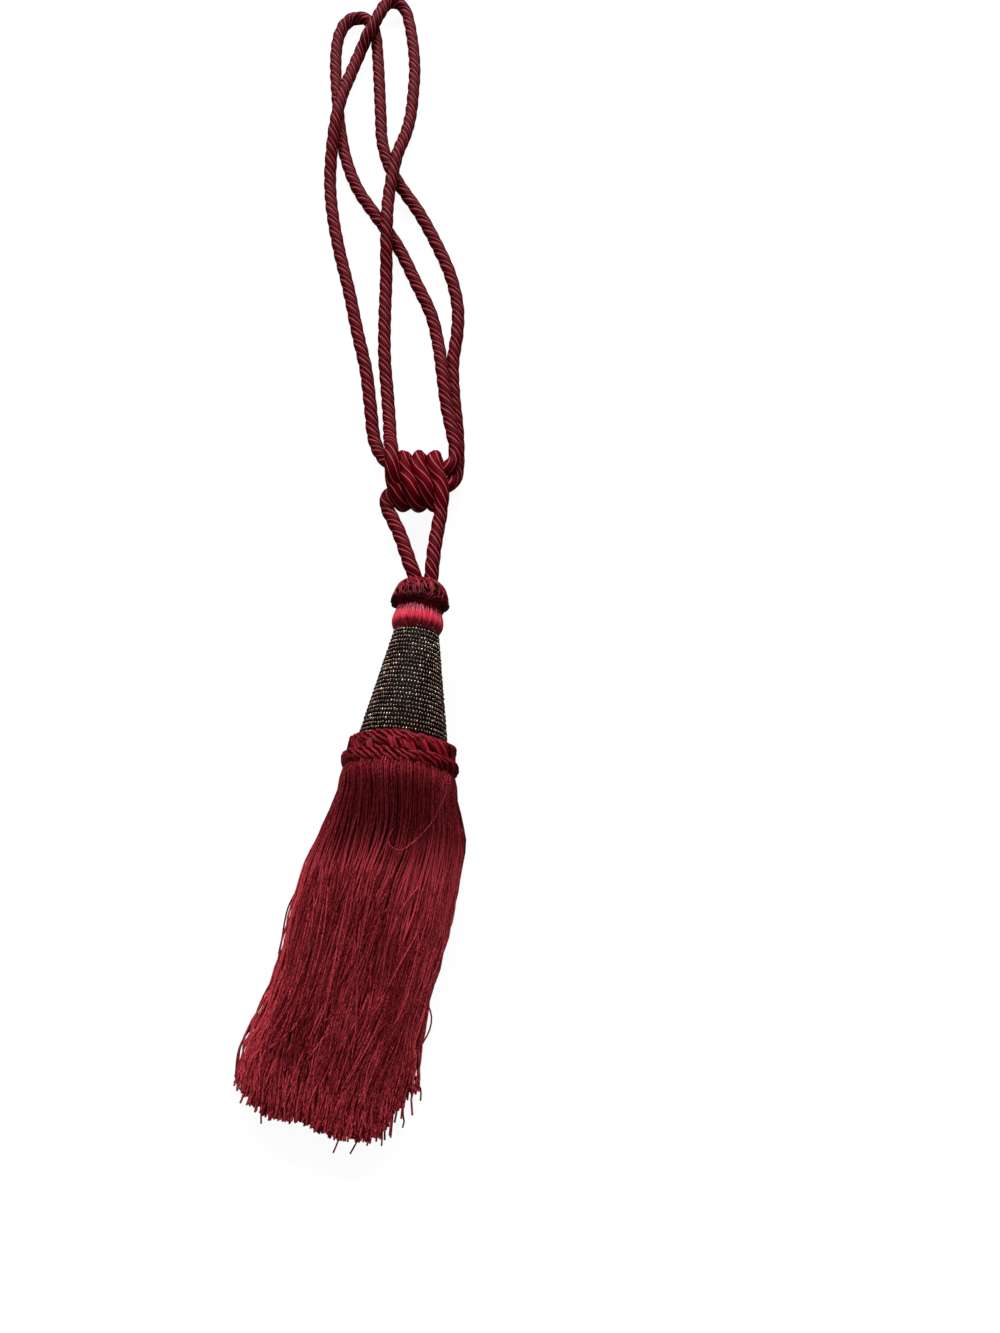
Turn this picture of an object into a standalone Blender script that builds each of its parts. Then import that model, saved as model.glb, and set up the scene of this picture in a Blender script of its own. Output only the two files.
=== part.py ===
"""Curtain tieback tassel lying on a flat surface.

One three-ply rope makes two long loops, passes through its own wrapped knot, and both of its
ends drop into the cap of the tassel's head. The head is a turned mould under rows of beads,
with a satin neck and a plaited cap above it and a plaited collar below it. A skirt of cut
threads spreads from under the collar.

+Z is up and the surface is z = 0. +Y runs from the skirt to the loops. The origin lies under
the middle of the tassel, measured without its rope. Sizes below are in millimetres.
"""

import math

import bpy
import numpy as np

MM = 0.001
GAP = 0.3  # between pieces that touch

# ---- Rope ----
ROPE_DIAMETER = 8.0
PLIES = 3
ROPE_LAY = 25.0  # length in which a ply goes once around
GROOVE_DEPTH = 0.9  # of the groove between two plies
ROPE_STEPS_PER_LAY = 6
TURN_PITCH = ROPE_DIAMETER + 1.2  # between the knot's turns

# ---- Head: distances run along its axis from the collar's widest place to the cap ----
HEAD_FOOT = (22.6, 38.1, 29.0)
HEAD_TURN = math.radians(5.0)  # from +Y towards +X
HEAD_DROP = math.radians(1.5)  # the cap end hangs lower
CONE_BASE, CONE_TOP = 15.6, 75.0
CONE_BASE_RADIUS, CONE_TOP_RADIUS = 23.9, 12.4
CONE_BULGE = 0.5
STUB_RADIUS = 20.0  # the mould's end inside the collar
CAP_TOP = 106.0  # flat place where both rope ends enter
ROPE_ENTRY = 4.4  # of each rope end from the head's axis

# Profiles, as (distance along the axis, radius)
NECK_PROFILE = ((75.3, 12.3), (77.5, 12.9), (83.0, 13.3), (88.6, 13.7))
CAP_PROFILE = (
    (88.9, 13.7), (90.3, 15.2), (93.0, 16.1), (96.6, 16.1),
    (100.0, 15.0), (103.2, 12.9), (105.5, 10.1), (106.0, 8.9),
)
COLLAR_PROFILE = (
    (15.3, 24.4), (13.0, 26.8), (9.6, 28.1), (6.8, 27.8),
    (5.2, 29.3), (2.2, 30.7), (-1.2, 30.7), (-3.5, 29.2),
)
CAP_RIDGES, COLLAR_RIDGES = 22, 32
CAP_SLANT, COLLAR_SLANT = 4.5, 2.6  # degrees that a ridge turns per millimetre of axis
RIDGE_DEPTH = 0.8

# ---- Knot: the turns bind two parallel stretches of the rope ----
KNOT_MIDDLE = (27.5, 214.5, 12.9)
CORE_SPREAD = 6.0  # of each bound stretch from the knot's middle
KNOT_TURNS = 3
FIRST_TURN_X = 8.2
FRONT_LEAN = 12.0  # how far the rope moves along the knot from a turn's top to its underside
LEAN_AT_TOP, LEAN_AT_MIDDLE, LEAN_AT_FOOT = 0.05, 0.2, 0.4  # shares of it over the front
POINTS_PER_BEND = 5

# ---- Skirt ----
SKIRT_LAYERS = 4
STRANDS_PER_LAYER = 50
STRAND_MARGIN = 0.08  # of its cell, left open on each side
SHOULDER = ((1.4, 28.7), (4.6, 27.6))  # backing's outer wall: distance behind the roots, radius
SWAY = 1.1
CORNER_CUT = 9.0  # the skirt's corners are shorter by this
TIP_UNEVENNESS = 5.0

# A row for each station along the skirt, from the roots to the tips:
# middle x and y, heading from -Y towards -X, half width, height of the top, height of the
# widest place, height of the underside before it meets the surface, thickness of the band
# of threads at the sides, hollow inside as a part of the height, evenness of the strands
# across the width, and squareness of the underside
SKIRT_STATIONS = (
    (22.4, 29.1, 5.0, 29.8, 57.6, 29.0, 0.8, 10.7, 0.62, 0.0, 2.1),
    (20.4, 7.4, 11.0, 36.5, 45.0, 18.0, -0.3, 10.2, 0.44, 0.3, 2.6),
    (10.2, -28.0, 13.0, 40.8, 31.0, 11.5, -0.3, 9.2, 0.20, 0.5, 3.0),
    (-2.0, -77.0, 14.0, 42.4, 21.0, 7.5, -0.3, 8.6, 0.10, 0.6, 3.0),
    (-19.4, -139.0, 14.0, 45.0, 14.5, 5.5, -0.3, 8.4, 0.08, 0.6, 3.0),
)

# ---- Route of the rope outside the turns and the cap: x, y, z ----
LEFT_HANGER = ((25.7, 152.0, 26.4), (22.0, 163.0, 23.6), (17.0, 177.5, 19.6),
               (11.6, 190.0, 15.2), (8.2, 198.5, 12.4), (9.2, 205.5, 12.0))
RIGHT_LEG_OF_LOWER_LOOP = (
    (43.4, 212.3, 11.5), (47.1, 218, 7.6), (49, 225, 4.8), (49.4, 236, 4), (48.6, 256, 4),
    (46.4, 277, 4), (45.3, 302, 4), (47.8, 326, 4), (47.8, 344, 4), (43, 368, 4),
    (33, 394, 4), (20.6, 420, 4), (8, 441, 4), (-1, 460, 4), (-6, 480, 4), (-7.8, 502, 4),
    (-10, 532, 4), (-12.3, 560, 4), (-14.4, 577, 4),
)
LOWER_APEX = ((-18, 587.5, 4), (-24, 592.3, 4), (-30.5, 592, 4), (-36.3, 587.2, 4))
LEFT_LEG_OF_LOWER_LOOP = (
    (-40.4, 576, 4), (-41.8, 560, 4), (-41, 540, 4), (-39, 520, 4), (-36, 494, 4),
    (-30, 464, 4), (-21, 439, 4), (-8, 417, 4), (7, 393, 4), (20.5, 363, 4), (31, 338, 4),
    (36, 315, 5), (38, 301, 8.5), (40, 285, 10.5), (42.6, 266, 11), (46, 249, 12),
    (48.2, 236, 12.7), (47.4, 228, 13.2), (43.8, 222.8, 14),
)
LEFT_LEG_OF_UPPER_LOOP = (
    (10, 225.5, 12), (3.4, 234, 8.5), (-2.2, 248, 4), (-5.4, 270, 4), (-9.4, 297, 4),
    (-16, 325, 4), (-23, 357, 4), (-31, 389, 4), (-37, 419, 4), (-40, 446, 4),
    (-39, 470, 9), (-37, 488, 12.5), (-34, 510, 12.5), (-30, 534, 8), (-24.5, 555, 7),
    (-18, 568, 12), (-12.7, 580, 13),
)
UPPER_APEX = ((-9.8, 590, 11.5), (-7.4, 598, 9.5), (-2.8, 603.2, 8), (2.6, 603, 6.2),
              (6.6, 598.5, 5))
RIGHT_LEG_OF_UPPER_LOOP = (
    (9.4, 589, 4), (11.6, 576, 4), (13.6, 560, 4), (14.7, 542, 4), (14.2, 522, 4),
    (13, 503, 4), (10.4, 483, 7), (6, 460, 12.5), (3, 440, 12.5), (1, 422, 11.5), (1, 404, 13),
    (1, 387, 10.5), (1, 366, 5), (1, 336, 4), (2, 306, 4), (4.6, 281, 4), (7, 259, 7),
    (8.4, 246, 12.5),
)
# Over the front of the knot, where it rides up on the first whole turn
FIRST_FRONT = ((9.6, 237.5, 18.5), (11.3, 229.5, 25), (12.2, 220.5, 27.5), (12.5, 213.6, 26.8))
RIGHT_HANGER = ((41.2, 200.5, 20.8), (40.4, 189.5, 19.2), (38.9, 178, 20.4),
                (37.7, 166, 23.6), (37, 154, 26.2))

# ---- Finishes: base colour, roughness ----
CRIMSON_ROPE = ((0.13, 0.004, 0.014), 0.42)
CRIMSON_PLAIT = ((0.15, 0.004, 0.016), 0.5)
CRIMSON_THREAD = ((0.16, 0.005, 0.018), 0.55)
SATIN_RED = ((0.42, 0.015, 0.04), 0.35)
IRIS_BEADS = ((0.09, 0.075, 0.05), 0.25)


def clear_scene():
    for old in list(bpy.data.objects):
        bpy.data.objects.remove(old, do_unlink=True)


def add_piece(name, points, faces, finish, metallic=0.0):
    """Makes a named object from points in millimetres."""
    colour, roughness = finish
    mesh = bpy.data.meshes.new(name)
    mesh.from_pydata([tuple(float(value) * MM for value in point) for point in points], [], faces)
    mesh.shade_smooth()
    mesh.set_sharp_from_angle(angle=math.radians(50))
    piece = bpy.data.objects.new(name, mesh)
    bpy.context.collection.objects.link(piece)
    material = bpy.data.materials.new(name)
    material.use_nodes = True
    principled = material.node_tree.nodes["Principled BSDF"]
    principled.inputs["Base Color"].default_value = (*colour, 1.0)
    principled.inputs["Roughness"].default_value = roughness
    principled.inputs["Metallic"].default_value = metallic
    mesh.materials.append(material)
    return piece


def bridge(ring, next_ring):
    """Faces between two closed rings of point numbers."""
    count = len(ring)
    return [
        (ring[k], ring[(k + 1) % count], next_ring[(k + 1) % count], next_ring[k])
        for k in range(count)
    ]


# ---- Head ----
def head_axes():
    """The head's axis towards the cap, and the two directions across it."""
    across = np.array([math.cos(HEAD_TURN), -math.sin(HEAD_TURN), 0.0])
    axis = np.array([
        math.sin(HEAD_TURN) * math.cos(HEAD_DROP),
        math.cos(HEAD_TURN) * math.cos(HEAD_DROP),
        -math.sin(HEAD_DROP),
    ])
    return axis, across, np.cross(across, axis)


def head_point(distance, radius=0.0, angle=0.0):
    """A point at a radius and an angle around the head's axis."""
    axis, across, up = head_axes()
    spoke = across * math.cos(angle) + up * math.sin(angle)
    return np.array(HEAD_FOOT) + axis * distance + spoke * radius


def turned(profile, sides, ridges=0, slant=0.0):
    """Rings of points around the head's axis. With ridges, every second column is a groove,
    and the columns turn by the slant as they run along the axis."""
    rings = []
    for row, (distance, radius) in enumerate(profile):
        inner_row = row in (0, len(profile) - 1)
        ring = []
        for k in range(sides):
            groove = RIDGE_DEPTH if ridges and k % 2 and not inner_row else 0.0
            angle = math.radians(slant * distance) - math.tau * k / sides
            ring.append(head_point(distance, radius - groove, angle))
        rings.append(ring)
    return rings


def solid_of_rings(rings, closed=False, shift=0):
    """Points and faces of stacked rings, capped at both ends or closed into a loop. The
    last ring then meets the first one that many columns on."""
    count = len(rings[0])
    numbers = [list(range(i * count, (i + 1) * count)) for i in range(len(rings))]
    faces = []
    for ring, next_ring in zip(numbers, numbers[1:]):
        faces += bridge(ring, next_ring)
    if closed:
        faces += bridge(numbers[-1], numbers[0][shift:] + numbers[0][:shift])
    else:
        faces += [tuple(reversed(numbers[0])), tuple(numbers[-1])]
    return [point for ring in rings for point in ring], faces


def bead_cone():
    """The mould that carries the beads, with the stub that fills the collar."""
    profile = [(COLLAR_PROFILE[-1][0], STUB_RADIUS), (CONE_BASE - GAP, STUB_RADIUS - GAP),
               (CONE_BASE, CONE_BASE_RADIUS)]
    rows = 6
    for row in range(1, rows + 1):
        part = row / rows
        straight = CONE_BASE_RADIUS + (CONE_TOP_RADIUS - CONE_BASE_RADIUS) * part
        bulge = CONE_BULGE * math.sin(math.pi * part)
        profile.append((CONE_BASE + (CONE_TOP - CONE_BASE) * part, straight + bulge))
    points, faces = solid_of_rings(turned(profile, sides=36))
    return add_piece("bead_cone", points, faces, IRIS_BEADS, metallic=0.6)


def satin_neck():
    points, faces = solid_of_rings(turned(NECK_PROFILE, sides=36))
    return add_piece("satin_neck", points, faces, SATIN_RED)


def cap_plait():
    rings = turned(CAP_PROFILE, sides=2 * CAP_RIDGES, ridges=CAP_RIDGES, slant=CAP_SLANT)
    points, faces = solid_of_rings(rings)
    return add_piece("cap_plait", points, faces, CRIMSON_PLAIT)


def collar_plait():
    """A ring around the mould's stub. Its underside is pressed flat by the surface."""
    bore = STUB_RADIUS + GAP
    first, last = COLLAR_PROFILE[0][0], COLLAR_PROFILE[-1][0]
    profile = [(last, bore), *reversed(COLLAR_PROFILE), (first, bore)]
    sides = 2 * COLLAR_RIDGES
    rings = turned(profile, sides, ridges=COLLAR_RIDGES, slant=COLLAR_SLANT)
    turned_columns = round(COLLAR_SLANT * (first - last) * sides / 360)
    points, faces = solid_of_rings(rings, closed=True, shift=-turned_columns)
    pressed = [(x, y, max(z, 0.0)) for x, y, z in points]
    return add_piece("collar_plait", pressed, faces, CRIMSON_PLAIT)


# ---- Skirt ----
def skirt_point(station, angle, layer):
    """A point in a station of the skirt. The angle runs from the +X side over the top, and
    the layer runs from 0 at the hollow to 1 at the outside."""
    (x, y, heading, half_width, top, middle, underside, band, hollow, evenness,
     squareness) = SKIRT_STATIONS[station]
    angle = angle % math.tau
    over_top = angle <= math.pi
    unrolled = 1 - 2 * (angle if over_top else math.tau - angle) / math.pi
    place = (1 - evenness) * math.cos(angle) + evenness * unrolled
    curve = 2.0 if over_top else squareness
    rise = (1 - min(abs(place), 1.0) ** curve) ** (1 / curve)
    height = (top - middle) if over_top else (underside - middle)
    inner_width = half_width - band
    offset = place * (inner_width + (half_width - inner_width) * layer)
    z = middle + height * rise * (hollow + (1 - hollow) * layer)
    if station:
        offset += SWAY * math.sin(offset / 8 + 1.9 * station)
    turn = math.radians(heading)
    return np.array([x + offset * math.cos(turn), y - offset * math.sin(turn), max(z, 0.0)])


def strand_reach(angle, layer_number, strand_number):
    """How much of the last stretch a strand covers: less at the corners, a little uneven."""
    last, before = SKIRT_STATIONS[-1], SKIRT_STATIONS[-2]
    stretch = math.hypot(last[0] - before[0], last[1] - before[1])
    corner = CORNER_CUT * abs(math.cos(angle)) ** 6
    uneven = TIP_UNEVENNESS * (0.5 + 0.5 * math.sin(7.3 * strand_number + 2.9 * layer_number))
    return 1 - (corner + uneven) / stretch


def skirt():
    """Three-sided strands that stand on the cells of one backing face."""
    layers, columns = SKIRT_LAYERS, STRANDS_PER_LAYER
    points, faces = [], []

    def add(point):
        points.append(point)
        return len(points) - 1

    corners = [
        [add(skirt_point(0, math.tau * k / columns, j / layers)) for k in range(columns)]
        for j in range(layers + 1)
    ]
    for j in range(layers):
        low_layer = (j + STRAND_MARGIN) / layers
        high_layer = (j + 1 - STRAND_MARGIN) / layers
        for k in range(columns):
            start, end, mid = (math.tau * (k + part) / columns
                               for part in (STRAND_MARGIN, 1 - STRAND_MARGIN, 0.5))
            outline = ((start, high_layer), (end, high_layer), (mid, low_layer))
            sections = [
                [skirt_point(station, *place) for place in outline]
                for station in range(len(SKIRT_STATIONS))
            ]
            reach = strand_reach(mid, j, k)
            sections[-1] = [
                before + (full - before) * reach
                for before, full in zip(sections[-2], sections[-1])
            ]
            rings = [[add(point) for point in section] for section in sections]
            a, b = corners[j][k], corners[j][(k + 1) % columns]
            c, d = corners[j + 1][(k + 1) % columns], corners[j + 1][k]
            p, q, r = rings[0]
            faces += [(d, c, q, p), (c, b, r, q), (b, a, r), (a, d, p, r)]
            for ring, next_ring in zip(rings, rings[1:]):
                faces += bridge(ring, next_ring)
            faces.append(tuple(rings[-1]))

    # The backing behind the roots: a disc with a rounded shoulder
    x, y, heading, _, _, middle = SKIRT_STATIONS[0][:6]
    turn = math.radians(heading)
    wall = [corners[-1]]
    for distance, radius in SHOULDER:
        ring = []
        for k in range(columns):
            angle = math.tau * k / columns
            across = radius * math.cos(angle)
            ring.append(add(np.array([
                x + across * math.cos(turn) + distance * math.sin(turn),
                y - across * math.sin(turn) + distance * math.cos(turn),
                middle + radius * math.sin(angle),
            ])))
        wall.append(ring)
    for ring, next_ring in zip(wall, wall[1:]):
        faces += bridge(next_ring, ring)
    faces += [tuple(corners[0]), tuple(reversed(wall[-1]))]
    return add_piece("skirt", points, faces, CRIMSON_THREAD)


# ---- Rope ----
def knot_turns():
    """The turns around the two bound stretches, from the first front's foot to the last."""
    _, middle_y, middle_z = KNOT_MIDDLE
    radius = ROPE_DIAMETER + GAP + 0.3
    upper_y, lower_y = middle_y + CORE_SPREAD, middle_y - CORE_SPREAD
    turns = []
    for turn in range(KNOT_TURNS + 1):
        x = FIRST_TURN_X + TURN_PITCH * turn
        if turn:
            for i in range(POINTS_PER_BEND):
                part = (i + 1) / (POINTS_PER_BEND + 1)
                angle = math.pi * (part - 0.5)
                back = x + (1 - part) * (FRONT_LEAN - TURN_PITCH) / 2
                turns.append((back, upper_y + radius * math.cos(angle),
                              middle_z + radius * math.sin(angle)))
            turns.append((x + LEAN_AT_TOP * FRONT_LEAN, upper_y, middle_z + radius))
            turns.append((x + LEAN_AT_MIDDLE * FRONT_LEAN, middle_y, middle_z + radius))
        turns.append((x + LEAN_AT_FOOT * FRONT_LEAN, lower_y, middle_z + radius))
        if turn < KNOT_TURNS:
            for i in range(POINTS_PER_BEND):
                part = (i + 1) / (POINTS_PER_BEND + 1)
                angle = math.pi * (0.5 - part)
                lean = LEAN_AT_FOOT + (1 - LEAN_AT_FOOT) * part
                turns.append((x + FRONT_LEAN * lean, lower_y - radius * math.cos(angle),
                              middle_z + radius * math.sin(angle)))
            turns.append((x + FRONT_LEAN, lower_y, middle_z - radius))
            turns.append((x + FRONT_LEAN, upper_y, middle_z - radius))
    return turns


def rope_route():
    """The whole rope, from its left end in the cap to its right end in the cap."""
    axis, across, _ = head_axes()
    x, y, z = KNOT_MIDDLE
    left_end, right_end = (
        head_point(CAP_TOP + GAP) + across * side * ROPE_ENTRY for side in (-1, 1)
    )
    lead = axis * 3.0
    lower_core = [(x + along, y - CORE_SPREAD, z) for along in (-12, 0, 10)]
    upper_core = [(x + along, y + CORE_SPREAD, z) for along in (10, 0, -11)]
    return [
        left_end, left_end + lead, *LEFT_HANGER, *lower_core,
        *RIGHT_LEG_OF_LOWER_LOOP, *LOWER_APEX, *LEFT_LEG_OF_LOWER_LOOP, *upper_core,
        *LEFT_LEG_OF_UPPER_LOOP, *UPPER_APEX, *RIGHT_LEG_OF_UPPER_LOOP,
        *FIRST_FRONT, *knot_turns(), *RIGHT_HANGER, right_end + lead, right_end,
    ]


def smooth_line(route, spacing):
    """Evenly spaced points on a centripetal Catmull-Rom curve through the route's points."""
    knots = np.array(route, dtype=float)
    knots = np.vstack([2 * knots[0] - knots[1], knots, 2 * knots[-1] - knots[-2]])
    samples = []
    for p0, p1, p2, p3 in zip(knots, knots[1:], knots[2:], knots[3:]):
        t1 = math.sqrt(np.linalg.norm(p1 - p0))
        t2 = t1 + math.sqrt(np.linalg.norm(p2 - p1))
        t3 = t2 + math.sqrt(np.linalg.norm(p3 - p2))
        for t in np.linspace(t1, t2, 24, endpoint=False):
            a1 = p0 + (p1 - p0) * t / t1
            a2 = p1 + (p2 - p1) * (t - t1) / (t2 - t1)
            a3 = p2 + (p3 - p2) * (t - t2) / (t3 - t2)
            b1 = a1 + (a2 - a1) * t / t2
            b2 = a2 + (a3 - a2) * (t - t1) / (t3 - t1)
            samples.append(b1 + (b2 - b1) * (t - t1) / (t2 - t1))
    samples = np.array([*samples, knots[-2]])
    travelled = np.concatenate([[0], np.cumsum(np.linalg.norm(np.diff(samples, axis=0), axis=1))])
    count = round(travelled[-1] / spacing)
    stops = np.linspace(0, travelled[-1], count + 1)
    return np.column_stack([np.interp(stops, travelled, samples[:, i]) for i in range(3)])


def rope():
    """A three-lobed section carried along the route, turning once in each lay."""
    step = ROPE_LAY / ROPE_STEPS_PER_LAY
    line = smooth_line(rope_route(), step)
    tangents = np.gradient(line, axis=0)
    tangents /= np.linalg.norm(tangents, axis=1)[:, None]
    normal = np.cross(tangents[0], (0.0, 0.0, 1.0))
    rings = []
    for number, (centre, tangent) in enumerate(zip(line, tangents)):
        normal = normal - tangent * np.dot(normal, tangent)
        normal /= np.linalg.norm(normal)
        binormal = np.cross(tangent, normal)
        ring = []
        for k in range(2 * PLIES):
            angle = math.pi * k / PLIES - math.tau * number / ROPE_STEPS_PER_LAY
            radius = ROPE_DIAMETER / 2 - (GROOVE_DEPTH if k % 2 else 0.0)
            spoke = normal * math.cos(angle) + binormal * math.sin(angle)
            ring.append(centre + spoke * radius)
        rings.append(ring)
    points, faces = solid_of_rings(rings)
    rested = [(x, y, max(z, 0.0)) for x, y, z in points]
    return add_piece("rope", rested, faces, CRIMSON_ROPE)


clear_scene()
bead_cone()
satin_neck()
cap_plait()
collar_plait()
skirt()
rope()
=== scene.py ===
import math

import bpy
import numpy as np
from mathutils import Matrix, Vector


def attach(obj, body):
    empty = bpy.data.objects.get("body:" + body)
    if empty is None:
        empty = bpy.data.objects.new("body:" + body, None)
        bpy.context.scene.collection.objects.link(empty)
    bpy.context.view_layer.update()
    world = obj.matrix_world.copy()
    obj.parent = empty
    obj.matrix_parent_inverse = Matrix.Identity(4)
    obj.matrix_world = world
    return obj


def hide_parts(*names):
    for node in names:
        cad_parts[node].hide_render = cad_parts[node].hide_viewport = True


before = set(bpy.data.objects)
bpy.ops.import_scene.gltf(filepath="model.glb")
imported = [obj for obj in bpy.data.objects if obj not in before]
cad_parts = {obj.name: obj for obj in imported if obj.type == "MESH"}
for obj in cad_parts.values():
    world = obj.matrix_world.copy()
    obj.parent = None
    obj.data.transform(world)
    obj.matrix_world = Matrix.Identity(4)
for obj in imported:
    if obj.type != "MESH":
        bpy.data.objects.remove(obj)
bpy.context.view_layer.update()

# ---- Camera ----
# It hangs half a metre above the surface, over the skirt and a little to its right, and is tipped
# 17 degrees towards the far end of the rope's loops, so that the whole tieback is in view.
camera = bpy.data.objects.new("camera", bpy.data.cameras.new("camera"))
camera.data.lens = 25
camera.location = (0.0751, -0.0520, 0.5075)
camera.rotation_euler = (math.radians(17), 0, 0)
bpy.context.scene.collection.objects.link(camera)
bpy.context.scene.camera = camera

# ---- Rope ----
# One rope of three plies of crimson rayon yarn, laid left-handed, 8 mm thick. Both ends are sewn
# into the cap of the head; between them it makes two long loops and is wound three times around
# its own two stretches to make the knot that holds the loops together.
MM = 0.001
ROPE_DIAMETER = 8.0
ROPE_LAY = 30.0  # length in which a ply goes once around
KNOT_LAY = 60.0  # the same inside the knot, where the rope has lost some of its twist
ROPE_STEP = 1.5  # between the points of its middle line
PLY_THICKNESS = 6.5  # before the plies press into each other
PLY_DISTANCE = 1.02  # of a ply's middle from the rope's middle
YARNS_PER_PLY = 9
KNOT_SWELL = 0.12  # how much fuller the slack rope is inside the knot
KNOT_REACH = (17.0, 17.0, 19.0)  # from its middle to where the rope starts to slacken towards it
ROPE_PAINTED_SHADE, KNOT_PAINTED_LIGHT = -0.12, 0.18  # painted shade along the loops, painted light in the knot
TURN_PITCH = ROPE_DIAMETER + 1.2  # between the knot's turns

# The head's axis, which both rope ends run into
HEAD_FOOT = np.array([22.6, 38.1, 29.0])
HEAD_TURN = math.radians(5.0)
HEAD_DROP = math.radians(1.5)
HEAD_ACROSS = np.array([math.cos(HEAD_TURN), -math.sin(HEAD_TURN), 0.0])
HEAD_AXIS = np.array([
    math.sin(HEAD_TURN) * math.cos(HEAD_DROP),
    math.cos(HEAD_TURN) * math.cos(HEAD_DROP),
    -math.sin(HEAD_DROP),
])
HEAD_UP = np.cross(HEAD_ACROSS, HEAD_AXIS)
CAP_TOP = 106.3
ROPE_ENTRY = 4.4  # of each rope end from the head's axis

KNOT_MIDDLE = (27.5, 214.5, 12.9)
CORE_SPREAD = 6.0  # of each bound stretch from the knot's middle
KNOT_TURNS = 3
FIRST_TURN_X = 8.2
FRONT_LEAN = 12.0  # how far the rope moves along the knot from a turn's top to its underside
LEAN_AT_TOP, LEAN_AT_MIDDLE, LEAN_AT_FOOT = 0.05, 0.2, 0.4  # shares of it over the front
KNOT_RADIUS = ROPE_DIAMETER + 0.6
POINTS_PER_BEND = 5

LEFT_HANGER = ((25.7, 152.0, 26.4), (22.0, 163.0, 23.6), (17.0, 177.5, 19.6),
               (11.6, 190.0, 15.2), (8.2, 198.5, 12.4), (9.2, 205.5, 12.0))
RIGHT_LEG_OF_LOWER_LOOP = (
    (43.4, 212.3, 11.5), (47.1, 218, 7.6), (49, 225, 4.8), (49.4, 236, 4), (48.6, 256, 4),
    (46.4, 277, 4), (45.3, 302, 4), (47.8, 326, 4), (47.8, 344, 4), (43, 368, 4),
    (33, 394, 4), (20.6, 420, 4), (8, 441, 4), (-1, 460, 4), (-6, 480, 4), (-7.8, 502, 4),
    (-10, 532, 4), (-12.3, 560, 4), (-14.4, 577, 4),
)
LOWER_APEX = ((-18, 587.5, 4), (-24, 592.3, 4), (-30.5, 592, 4), (-36.3, 587.2, 4))
LEFT_LEG_OF_LOWER_LOOP = (
    (-40.4, 576, 4), (-41.8, 560, 4), (-41, 540, 4), (-39, 520, 4), (-36, 494, 4),
    (-30, 464, 4), (-21, 439, 4), (-8, 417, 4), (7, 393, 4), (20.5, 363, 4), (31, 338, 4),
    (36, 315, 5), (38, 301, 8.5), (40, 285, 10.5), (42.6, 266, 11), (46, 249, 12),
    (48.2, 236, 12.7), (47.4, 228, 13.2), (43.8, 222.8, 14),
)
LEFT_LEG_OF_UPPER_LOOP = (
    (10, 225.5, 12), (3.4, 234, 8.5), (-2.2, 248, 4), (-5.4, 270, 4), (-9.4, 297, 4),
    (-16, 325, 4), (-23, 357, 4), (-31, 389, 4), (-37, 419, 4), (-40, 446, 4),
    (-39, 470, 9), (-37, 488, 12.5), (-34, 510, 12.5), (-30, 534, 8), (-24.5, 555, 7),
    (-18, 568, 12), (-12.7, 580, 13),
)
UPPER_APEX = ((-9.8, 590, 11.5), (-7.4, 598, 9.5), (-2.8, 603.2, 8), (2.6, 603, 6.2),
              (6.6, 598.5, 5))
RIGHT_LEG_OF_UPPER_LOOP = (
    (9.4, 589, 4), (11.6, 576, 4), (13.6, 560, 4), (14.7, 542, 4), (14.2, 522, 4),
    (13, 503, 4), (10.4, 483, 7), (6, 460, 12.5), (3, 440, 12.5), (1, 422, 11.5), (1, 404, 13),
    (1, 387, 10.5), (1, 366, 5), (1, 336, 4), (2, 306, 4), (4.6, 281, 4), (7, 259, 7),
    (8.4, 246, 12.5),
)
FIRST_FRONT = ((9.6, 237.5, 18.5), (11.3, 229.5, 25), (12.2, 220.5, 27.5), (12.5, 213.6, 26.8))
RIGHT_HANGER = ((41.2, 200.5, 20.8), (40.4, 189.5, 19.2), (38.9, 178, 20.4),
                (37.7, 166, 23.6), (37, 154, 26.2))


def knot_turns():
    """The turns around the two bound stretches, from the first front's foot to the last."""
    _, middle_y, middle_z = KNOT_MIDDLE
    upper_y, lower_y = middle_y + CORE_SPREAD, middle_y - CORE_SPREAD
    turns = []
    for turn in range(KNOT_TURNS + 1):
        x = FIRST_TURN_X + TURN_PITCH * turn
        if turn:
            for i in range(POINTS_PER_BEND):
                part = (i + 1) / (POINTS_PER_BEND + 1)
                angle = math.pi * (part - 0.5)
                back = x + (1 - part) * (FRONT_LEAN - TURN_PITCH) / 2
                turns.append((back, upper_y + KNOT_RADIUS * math.cos(angle),
                              middle_z + KNOT_RADIUS * math.sin(angle)))
            turns.append((x + LEAN_AT_TOP * FRONT_LEAN, upper_y, middle_z + KNOT_RADIUS))
            turns.append((x + LEAN_AT_MIDDLE * FRONT_LEAN, middle_y, middle_z + KNOT_RADIUS))
        turns.append((x + LEAN_AT_FOOT * FRONT_LEAN, lower_y, middle_z + KNOT_RADIUS))
        if turn < KNOT_TURNS:
            for i in range(POINTS_PER_BEND):
                part = (i + 1) / (POINTS_PER_BEND + 1)
                angle = math.pi * (0.5 - part)
                lean = LEAN_AT_FOOT + (1 - LEAN_AT_FOOT) * part
                turns.append((x + FRONT_LEAN * lean, lower_y - KNOT_RADIUS * math.cos(angle),
                              middle_z + KNOT_RADIUS * math.sin(angle)))
            turns.append((x + FRONT_LEAN, lower_y, middle_z - KNOT_RADIUS))
            turns.append((x + FRONT_LEAN, upper_y, middle_z - KNOT_RADIUS))
    return turns


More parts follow.
